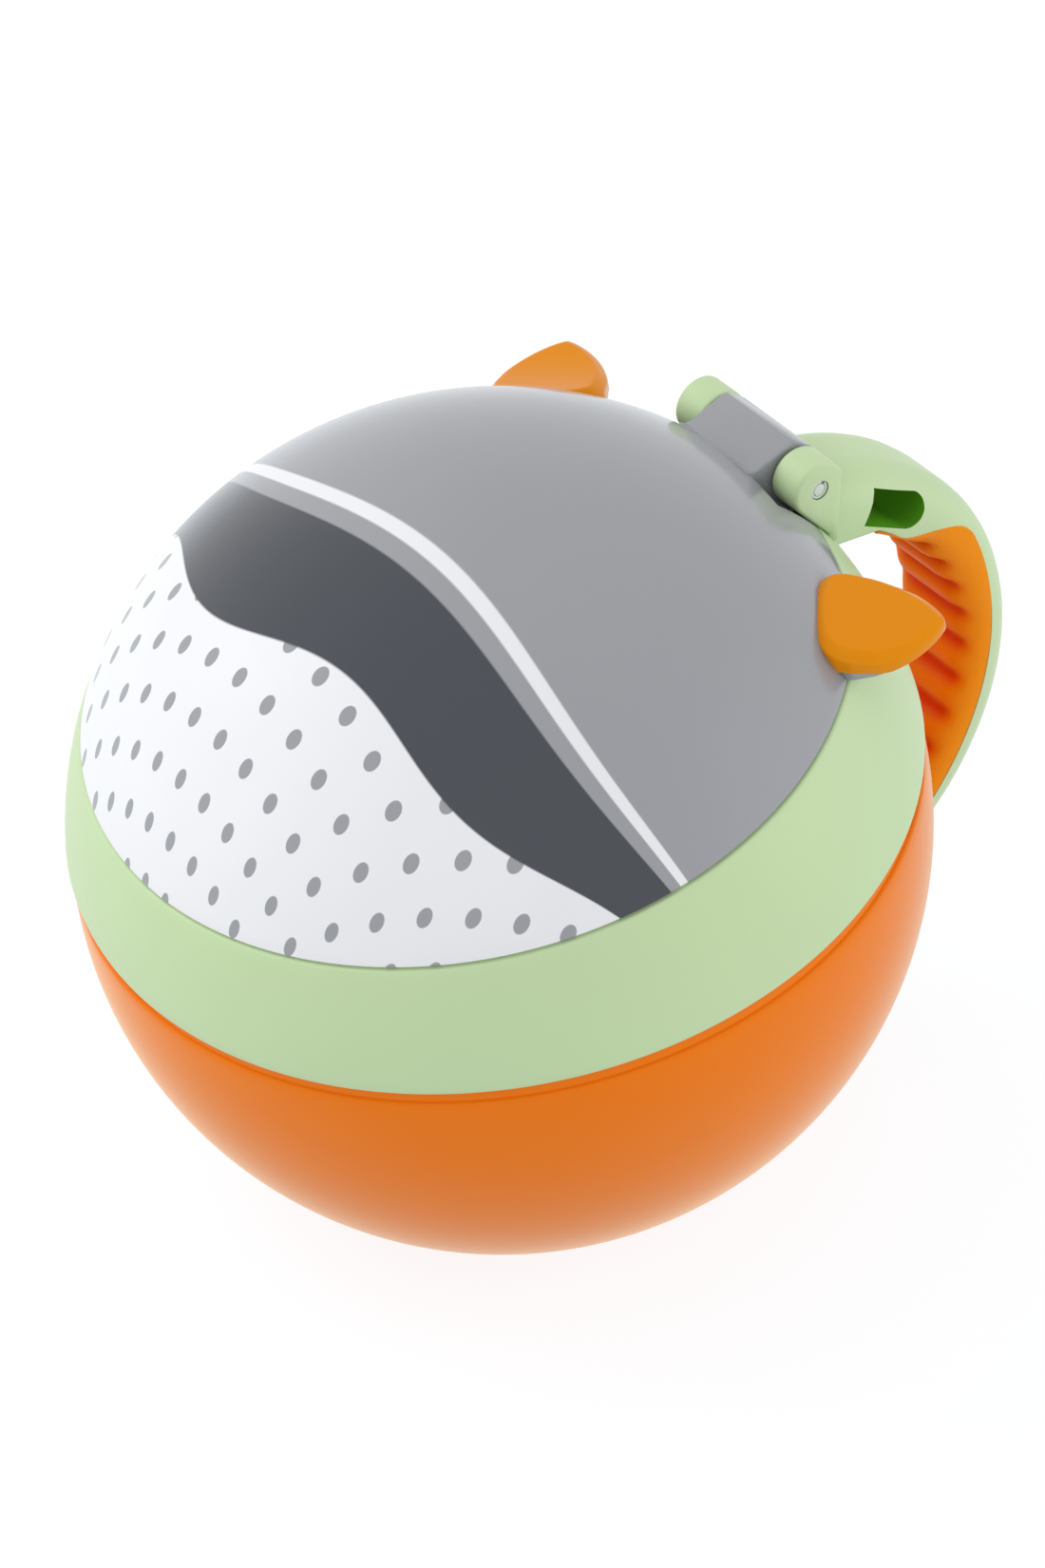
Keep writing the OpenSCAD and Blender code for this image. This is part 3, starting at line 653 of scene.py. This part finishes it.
def outer_reach(a):
    """Distance from the inner curve's centre to the handle's outside, in direction a."""
    dy, dz = INSIDE[0] - OUTSIDE[0], INSIDE[1] - OUTSIDE[1]
    half = dy * math.cos(math.radians(a)) + dz * math.sin(math.radians(a))
    return -half + math.sqrt(half * half + OUTSIDE[2] ** 2 - dy * dy - dz * dz)


def pad_flat(a):
    """Distance of the grip's face without its grooves, in direction a."""
    return INSIDE[2] - PAD_LIFT * max(0, a) / PAD_TOP


def pad_back(a):
    """Distance where the grip meets the green skin, in direction a: it thins out under the strap slot."""
    thin = ease((a - PAD_JOIN) / PAD_TURN)
    return BED * (1 - thin) + (pad_flat(a) + PAD_THIN) * thin


def half_section(half, depth, outer_round, inner_round, steps=6, waist=7):
    """Half an outline across the handle, as (x, depth), from the outside's middle to the inside's."""
    points = [((half - outer_round) * k / waist, 0) for k in range(waist)]
    low = math.asin(max(0, 1 - depth / outer_round)) if depth < outer_round else 0
    for k in range(steps + 1):
        turn = math.pi / 2 + (low - math.pi / 2) * k / steps
        points.append((half + outer_round * (math.cos(turn) - 1), outer_round * (1 - math.sin(turn))))
    side = points[-1][0]
    for k in range(4):
        turn = math.pi / 2 * k / 3
        points.append((side + inner_round * (math.cos(turn) - 1), depth + inner_round * (math.sin(turn) - 1)))
    points += [((side - inner_round) * (1 - k / waist), depth) for k in range(1, waist + 1)]
    return points


def station(sizes, half, inner, outer, shift=None, shift_to=2.4):
    """A whole outline of the handle, between an inner and an outer point of the side view, in metres. Shift
    moves its points inward by their x, down to a depth."""
    inward = (inner - outer).normalized()
    points = []
    for x, depth in half + [(-x, d) for x, d in reversed(half[1:-1])]:
        place = outer + inward * (depth + (shift(x) if shift and depth < shift_to else 0))
        points.append((x * MM, place[0] * MM, place[1] * MM + sizes.ball_z))
    return points


class SNACK_OT_handle(Piece, bpy.types.Operator):
    """Make the handle: the green arm and skin with its strap slot and end bead"""
    bl_idname = "snack.handle"
    bl_label = "Handle"

    def execute(self, context):
        sizes, colours = self.values(context)
        middle, turned = Vector(from_pin(sizes, SLOT_AT)[0]), Matrix.Rotation(math.radians(SLOT_LEAN), 2)
        long, high = sizes.slot_long, sizes.slot_high
        plan = [(-long / 2, -high / 2)]
        for k in range(17):
            turn = math.pi * k / 16
            plan.append((long / 2 - high / 2 + high / 2 * math.sin(turn), -high / 2 * math.cos(turn)))
        plan.append((-long / 2, high / 2))
        hole = side_prism(sizes, [turned @ Vector(p) + middle for p in plan], -12 * MM, 12 * MM)
        bm = merged(carve(self.arm(sizes), hole), self.bead(sizes))
        # painted shade: the strap slot's walls get their own darker green, blended darker still where ambient
        # occlusion finds a hollow
        walls = plastic("Slot painted shade", colours.slot_wall_shade, 0.6, grain=(1400.0, 0.5), wave=0.8, bump=0.05,
                        deep=(colours.slot, 4 * MM), Specular_IOR_Level=0.0)

        def in_slot(face, near=0.01 * MM):
            along = (Vector(face.center[1:]) - middle - Vector((0, sizes.ball_z))) @ turned
            beyond = max(0, along.x - (long - high) / 2)
            inside = along.x > -long / 2 - near and math.hypot(beyond, along.y) < high / 2 + near
            return inside and abs(face.normal.x) < 0.2

        finished("Handle", bm, collar_plastic(colours), "collar", "handle",
                 inner=(walls, in_slot))
        return {"FINISHED"}

    def arm(self, sizes, arm_stops=12, skin_stops=64, inner_round=0.6):
        """The arm from the hinge legs to the grip's upper end, and then the skin behind the grip."""
        half, edge, back = mm(sizes.handle_w / 2, sizes.handle_edge, sizes.leg_back)
        under, pad = Vector((back, ARM_UNDER)), polar(PAD_TOP, pad_back(PAD_TOP))
        first = math.acos((back - OUTSIDE[0]) / OUTSIDE[2])
        join = polar(PAD_TOP, outer_reach(PAD_TOP))
        last = math.atan2(join[1] - OUTSIDE[1], join[0] - OUTSIDE[0])
        stops = []
        for k in range(arm_stops):
            turn = first + (last - first) * k / arm_stops
            outer = Vector((OUTSIDE[0] + OUTSIDE[2] * math.cos(turn), OUTSIDE[1] + OUTSIDE[2] * math.sin(turn)))
            stops.append((under.lerp(pad, k / arm_stops), outer, inner_round))
        for k in range(skin_stops + 1):
            a = PAD_TOP + (HANDLE_END - PAD_TOP) * k / skin_stops
            stops.append((polar(a, pad_back(a)), polar(a, outer_reach(a)), inner_round * max(0.02, 1 - k / 5)))
        return sweep([station(sizes, half_section(half, (inner - outer).length, edge, small), inner, outer)
                      for inner, outer, small in stops])

    def bead(self, sizes):
        """The rounded bead that ends the skin and the grip, spun about its own axis."""
        half = sizes.handle_w / 2 / MM
        centre = polar(HANDLE_END, INSIDE[2] + BEAD_R)
        points = [(-half, 0)]
        for k in range(8):
            turn = math.pi / 2 * k / 7
            points.append((-half + BEAD_EDGE * (1 - math.cos(turn)), BEAD_R - BEAD_EDGE * (1 - math.sin(turn))))
        points += [(-x, r) for x, r in reversed(points)]
        bm = bmesh.new()
        chain = [bm.verts.new((x * MM, 0, r * MM)) for x, r in points]
        edges = [bm.edges.new(pair) for pair in zip(chain, chain[1:])]
        bmesh.ops.spin(bm, geom=chain + edges, cent=(0, 0, 0), axis=(1, 0, 0), angle=TURN, steps=32,
                       use_merge=True)
        bmesh.ops.remove_doubles(bm, verts=bm.verts, dist=WELD)
        bmesh.ops.recalc_face_normals(bm, faces=bm.faces)
        bmesh.ops.translate(bm, verts=bm.verts, vec=(0, centre[0] * MM, centre[1] * MM + sizes.ball_z))
        return bm


class SNACK_OT_grip(Piece, bpy.types.Operator):
    """Make the soft grip: a pad inside the handle, crossed by rounded finger ribs"""
    bl_idname = "snack.grip"
    bl_label = "Ribbed grip"

    def execute(self, context):
        sizes, colours = self.values(context)
        half, depth, count = sizes.handle_w / 2 / MM - 0.1, sizes.rib_depth / MM, sizes.rib_count
        long, stops = PAD_TOP - HANDLE_END, 12 * count

        def valley(a, x):
            """How deep the grooves are at a place on the grip, from 0 to 1: they end before the edges and
            before the thin part."""
            fade = clamp((PAD_JOIN + PAD_TURN - a) / 12)
            wave = ((1 - math.cos(TURN * count * (a - HANDLE_END) / long)) / 2) ** 1.6
            return fade * wave * ease((half - 0.5 - abs(x)) / 1.7)

        sections = []
        for k in range(6, stops + 1):
            a = HANDLE_END + long * k / stops
            inner, outer = polar(a, pad_back(a)), polar(a, pad_flat(a))
            thick = (inner - outer).length
            crown = min(3.4, 0.9 * thick)
            sections.append(station(sizes, half_section(half, thick, crown, min(0.05, thick / 4)), inner, outer,
                                    lambda x: depth * valley(a, x)))
        bm = sweep(sections)
        # painted shade: the valley attribute says how far the grip's colour is darkened to the groove colour, a
        # quarter across the middle of its face and fully in the grooves
        layer = bm.verts.layers.float.new("valley")
        for vert in bm.verts:
            y, z = vert.co.y / MM - INSIDE[0], (vert.co.z - sizes.ball_z) / MM - INSIDE[1]
            a, x = math.degrees(math.atan2(z, y)), vert.co.x / MM
            near = clamp(pad_flat(a) + depth + 2 - math.hypot(y, z))
            middle = clamp((half - 1 - abs(x)) / 1.5)
            vert[layer] = near * (0.25 * middle + 0.75 * valley(a, x))
        rubber = plastic("Grip rubber", colours.grip, 0.45, grain=(1800.0, 0.8), wave=0.4, bump=0.06,
                         deep=(colours.groove_shade, "valley"), Specular_IOR_Level=0.1)
        finished("Grip", bm, rubber, "collar", "handle_grip", sharp=60)
        return {"FINISHED"}


class SNACK_OT_insert(Piece, bpy.types.Operator):
    """Dress the soft insert: its clamped ring and the six flaps that part for a hand"""
    bl_idname = "snack.insert"
    bl_label = "Soft insert"

    def execute(self, context):
        _, colours = self.values(context)
        rubber = plastic("Insert rubber", colours.insert, 0.45, grain=(1600.0, 0.8), wave=0.4, bump=0.08,
                         Sheen_Weight=0.1, Sheen_Roughness=0.4)
        for node in ["flap_ring"] + [f"flap_{k}" for k in range(1, 7)]:
            dress(node, rubber)
        return {"FINISHED"}


# An ear in its own plane, in millimetres from the lid's axis: the lid's rim, the tip, half the width and the
# middle that its face closes on, and in degrees how far the ear is turned from the lid's side to its back
EAR_RIM, EAR_TIP, EAR_WIDE, EAR_CENTRE, EAR_TURN = 42.186, 52.186, 6.8, 44.0, 50.2
# Roots of the grey flange, of the cap and of the cap's face
FLANGE_ROOT, CAP_ROOT, FACE_ROOT = 40.19, 38.39, 39.6
# Heights in the lid's leaning frame: the flange's two sides, the cap's face at the tip, and its rise and length
FLANGE_LOW, FLANGE_TOP, FACE_TIP, FACE_RISE, FACE_LONG = 23.15, 24.35, 24.95, 3.85, 13.8


def ear_place(sizes, side, x, y, z):
    """A point of an ear, from its own plane in millimetres to the container's frame."""
    turn = math.radians(EAR_TURN)
    px, py = x * math.cos(turn) - y * math.sin(turn), x * math.sin(turn) + y * math.cos(turn)
    return ball_point(sizes, sizes.lid_lean, side * px * MM, py * MM, z * MM)


def ear_top(x):
    """Height of an ear's face, which runs down from its root and eases off towards the tip."""
    return FACE_TIP + FACE_RISE * (max(0, EAR_TIP - x) / FACE_LONG) ** 1.9


def ear_flank(x):
    """Height where a cap's side turns into its face."""
    return max(FLANGE_TOP + 0.15, ear_top(x) - 1.2)


def ear_skirt(x):
    """Height of a cap's lower edge: on the flange at its root, and down over the flange's edge at the tip."""
    return FLANGE_TOP - 1.15 * ease((x - 42.5) / 4)


def ear_outline(root, tip, wide, scale=1.0, steps=24):
    """An ear's outline (x, y): a bowed root, widest over the lid's rim, with flanks that bow in to a round tip."""
    outline = []
    for k in range(-steps, steps + 1):
        outline.append((EAR_RIM + (tip - EAR_RIM) * (1 - abs(k / steps) ** 1.25) ** (1 / 2.2), wide * k / steps))
    for k in range(steps - 1, -steps, -1):
        outline.append((EAR_RIM - (EAR_RIM - root) * (1 - abs(k / steps) ** 2.5) ** 0.4, wide * k / steps))
    return [(EAR_CENTRE + (x - EAR_CENTRE) * scale, y * scale) for x, y in outline]


def ear_body(sizes, side, layers, rounding):
    """A lofted ear: each layer is (root, tip, half width, scale, its height as a function of x)."""
    sections = []
    for root, tip, wide, scale, height in layers:
        sections.append([ear_place(sizes, side, x, y, height(x)) for x, y in ear_outline(root, tip, wide, scale)])
    bm = sweep(sections)
    rims = [e for e in bm.edges if len(e.link_faces) == 2 and e.calc_face_angle() > math.radians(14)]
    rounded(bm, rims, rounding * MM, clamp_overlap=True)
    bmesh.ops.recalc_face_normals(bm, faces=bm.faces)
    return bm


# The lid's hinge in the side view, in millimetres from the pin: the room under a leg's foot, the hollow in the
# dome in front of a leg, and the knuckle's ramp from its back over the top to the dome
LEG_ROOM = ((1, -6.6), (6.6, -6.6), (6.6, -2.4))
LEG_HOLLOW = ((0, 4.5), (-5.9, 2.6), (-6.1, 0.2), (-5.2, -1.9), (-3.2, -3.2), (0, -3.2))
RAMP = ((0.15, 3.8), (-0.1, 3.86), (-4.8, 1.99), (-5.55, 1.95), (-6.25, 2.4), (-6.7, 1.9), (-6.2, -0.2),
        (-2.0, -2.2))
# Radius of the ball that stays whole under the hollow
HOLLOW_R = 46.3


class SNACK_OT_lid(Piece, bpy.types.Operator):
    """Make the lid: dome, plug ring, hinge knuckle with its ramp, and two lug flanges"""
    bl_idname = "snack.lid"
    bl_label = "Lid"

    def execute(self, context):
        sizes, colours = self.values(context)
        dome, half = self.dome(sizes), sizes.lid_knuckle / 2
        for side in (-1, 1):
            across = [side * (half + sizes.hinge_gap / 2), side * (sizes.hinge_half + sizes.hinge_gap)]
            room = pin_arc(sizes, sizes.knuckle_r + sizes.hinge_gap, -40, 214, 40) + from_pin(sizes, *LEG_ROOM)
            dome = carve(dome, side_prism(sizes, room, *across))
            core = bmesh.new()
            bmesh.ops.create_uvsphere(core, u_segments=96, v_segments=48, radius=HOLLOW_R * MM)
            bmesh.ops.translate(core, verts=core.verts, vec=(0, 0, sizes.ball_z))
            hollow = side_prism(sizes, from_pin(sizes, *LEG_HOLLOW), *across)
            dome = carve(dome, carve(hollow, core))
        outline = pin_arc(sizes, sizes.knuckle_r, -70, 42, 24) + from_pin(sizes, *RAMP)
        knuckle = side_prism(sizes, outline, -half, half, 0.25 * MM)
        plan = (FLANGE_ROOT, EAR_TIP - 0.9, EAR_WIDE - 0.2, 1)
        layers = [(*plan, lambda x: FLANGE_LOW), (*plan, lambda x: FLANGE_TOP)]
        flanges = [ear_body(sizes, side, layers, 0.25) for side in (-1, 1)]
        bm = merged(dome, knuckle, *flanges)
        finished("Lid", bm, printed_plastic(sizes, colours), "lid", "lid_shell", sharp=32)
        return {"FINISHED"}

    def dome(self, sizes):
        """The dome with the plug ring inside its rim."""
        ball, wall, low = mm(sizes.ball_r, sizes.lid_wall, sizes.lid_low)
        plug, plug_wall, plug_low = mm(sizes.plug_r, sizes.plug_wall, sizes.plug_low)
        lean, inner, bore = math.degrees(sizes.lid_lean), ball - wall, plug - plug_wall
        profile = [(lean, ball, 0, 0)] + zone(ball, ball - 1e-4, low, 40, lean, lean)
        profile += [(lean, low, on_ball(ball, low), 0.25), (lean, low, on_ball(inner, low), 0),
                    (lean, on_ball(inner, plug), plug, 0), (lean, plug_low, plug, 0.4),
                    (lean, plug_low, bore, 0.4), (lean, on_ball(inner, bore), bore, 0)]
        profile += zone(inner, on_ball(inner, bore), inner - 1e-4, 30, lean, lean) + [(lean, inner, 0, 0)]
        return lathe(sizes, profile)


class SNACK_OT_ears(Piece, bpy.types.Operator):
    """Make the two glossy caps on the lid's lugs"""
    bl_idname = "snack.ears"
    bl_label = "Lug caps"

    def execute(self, context):
        sizes, colours = self.values(context)
        gloss = plastic("Lug plastic", colours.ear, 0.16, wave=1.0, bump=0.02, Specular_IOR_Level=0.12)
        tip, wide = EAR_TIP - 0.1, EAR_WIDE - 0.1
        layers = [(CAP_ROOT, tip, wide, 1, ear_skirt), (CAP_ROOT, tip, wide, 1, ear_flank)]
        layers += [(FACE_ROOT, tip - 0.8, wide - 1.0, scale, ear_top)
                   for scale in (1, 0.85, 0.7, 0.55, 0.4, 0.25, 0.1)]
        for side, name, node in ((-1, "Cap_left", "ear_cap_left"), (1, "Cap_right", "ear_cap_right")):
            bm = ear_body(sizes, side, layers, 0.2)
            finished(name, bm, gloss, "lid", node, sharp=24)
        return {"FINISHED"}


class SNACK_OT_pin(Piece, bpy.types.Operator):
    """Make the hinge pin: a spring pin rolled from sheet steel round a core, seen at its two ends"""
    bl_idname = "snack.pin"
    bl_label = "Hinge pin"

    def execute(self, context):
        sizes, colours = self.values(context)
        end, rounding = sizes.hinge_half - 0.1 * MM, 0.06 * MM
        outside = pin_arc(sizes, sizes.pin_r, 70, 410, 34)
        inside = pin_arc(sizes, sizes.pin_r - 0.3 * MM, 405, 75, 34)
        sheet = side_prism(sizes, outside + inside, -end, end, rounding, 2)
        core = side_prism(sizes, pin_circle(sizes, sizes.pin_r - 0.36 * MM), -end, end, rounding, 2)
        steel = plastic("Pin steel", colours.pin, 0.4, grain=(2500.0, 0.6), bump=0.03, Metallic=0.6)
        finished("Hinge_pin", merged(sheet, core), steel, "collar", "hinge_pin")
        return {"FINISHED"}


# The lamps: name, direction from the ball, size and power. They stand at one distance, in metres.
LAMPS = (("Key", (-0.8, -0.45, 0.75), 0.8, 4.0), ("Left", (-0.59, -0.81, 0.1), 0.9, 2.2),
         ("Right", (0.59, 0.81, 0.15), 0.9, 4.6), ("Front", (0.7, -0.65, 0.45), 0.6, 2.2))
LAMP_FAR = 1.0
# Levels of the world and of the floor's own glow: as they light things, and as they are seen
WORLD_LEVELS, FLOOR_LEVELS = (0.58, 1.0), (0.4, 0.85)


class SNACK_OT_stage(bpy.types.Operator):
    """Set the stage: pale floor, soft studio light and the camera"""
    bl_idname = "snack.stage"
    bl_label = "Stage"

    def execute(self, context):
        centre = Vector((0, 0, context.scene.snack_sizes.ball_z))
        self.camera(context, centre)
        self.floor()
        self.lights(context, centre)
        return {"FINISHED"}

    def camera(self, context, centre):
        turn, rise, far = math.radians(54), math.radians(38.1), 0.576
        back = Vector((math.sin(turn) * math.cos(rise), -math.cos(turn) * math.cos(rise), math.sin(rise)))
        data = bpy.data.cameras.new("Camera")
        data.lens, data.sensor_width, data.sensor_fit = 119.97, 36, "AUTO"
        data.shift_x, data.shift_y = 0.01333, 0.02455
        data.clip_start, data.clip_end = 0.01, 20
        camera = linked("Camera", data)
        camera.location = centre + back * far
        camera.rotation_euler = (-back).to_track_quat("-Z", "Y").to_euler()
        context.scene.camera = camera

    def floor(self):
        bm = bmesh.new()
        bmesh.ops.create_circle(bm, cap_ends=True, segments=96, radius=4.0)
        mesh = bpy.data.meshes.new("Floor")
        bm.to_mesh(mesh)
        bm.free()
        material = bpy.data.materials.new("Pale floor")
        material.use_nodes = True
        tree = material.node_tree
        principled = tree.nodes["Principled BSDF"]
        principled.inputs["Base Color"].default_value = (0.18, 0.21, 0.24, 1)
        principled.inputs["Roughness"].default_value = 0.9
        principled.inputs["Specular IOR Level"].default_value = 0.0
        principled.inputs["Emission Color"].default_value = (1, 1, 1, 1)
        tree.links.new(seen_level(tree, *FLOOR_LEVELS), principled.inputs["Emission Strength"])
        mesh.materials.append(material)
        linked("Floor", mesh)

    def lights(self, context, centre):
        world = bpy.data.worlds.new("Studio")
        world.use_nodes = True
        tree = world.node_tree
        background = tree.nodes["Background"]
        background.inputs["Color"].default_value = (1, 1, 1, 1)
        tree.links.new(seen_level(tree, *WORLD_LEVELS), background.inputs["Strength"])
        context.scene.world = world
        for name, way, size, power in LAMPS:
            data = bpy.data.lights.new(name, "AREA")
            data.shape, data.size, data.energy = "DISK", size, power
            lamp = linked(name, data)
            lamp.location = centre + Vector(way).normalized() * LAMP_FAR
            lamp.rotation_euler = (centre - lamp.location).to_track_quat("-Z", "Y").to_euler()
            lamp.visible_glossy = False


class SNACK_PT_panel(bpy.types.Panel):
    """Lists the container's pieces, sizes and colours"""
    bl_idname = "SNACK_PT_panel"
    bl_label = "Snack Container"
    bl_space_type = "VIEW_3D"
    bl_region_type = "UI"
    bl_category = "Snack Container"

    def draw(self, context):
        layout = self.layout
        for operator in OPERATORS:
            layout.operator(operator.bl_idname)
        for title, group in (("Sizes", context.scene.snack_sizes), ("Colours", context.scene.snack_colours)):
            box = layout.box()
            box.label(text=title)
            for name in group.__annotations__:
                box.prop(group, name)


OPERATORS = (SNACK_OT_bowl, SNACK_OT_collar, SNACK_OT_handle, SNACK_OT_grip, SNACK_OT_insert, SNACK_OT_lid,
             SNACK_OT_ears, SNACK_OT_pin, SNACK_OT_stage)
CLASSES = (SnackSizes, SnackColours, *OPERATORS, SNACK_PT_panel)


def register():
    for cls in CLASSES:
        bpy.utils.register_class(cls)
    bpy.types.Scene.snack_sizes = PointerProperty(type=SnackSizes)
    bpy.types.Scene.snack_colours = PointerProperty(type=SnackColours)


def unregister():
    del bpy.types.Scene.snack_colours
    del bpy.types.Scene.snack_sizes
    for cls in reversed(CLASSES):
        bpy.utils.unregister_class(cls)


def main():
    register()
    bpy.context.scene.view_settings.view_transform = "Standard"
    bpy.ops.snack.bowl()
    bpy.ops.snack.collar()
    bpy.ops.snack.handle()
    bpy.ops.snack.grip()
    bpy.ops.snack.insert()
    bpy.ops.snack.lid()
    bpy.ops.snack.ears()
    bpy.ops.snack.pin()
    bpy.ops.snack.stage()


if __name__ == "__main__":
    main()
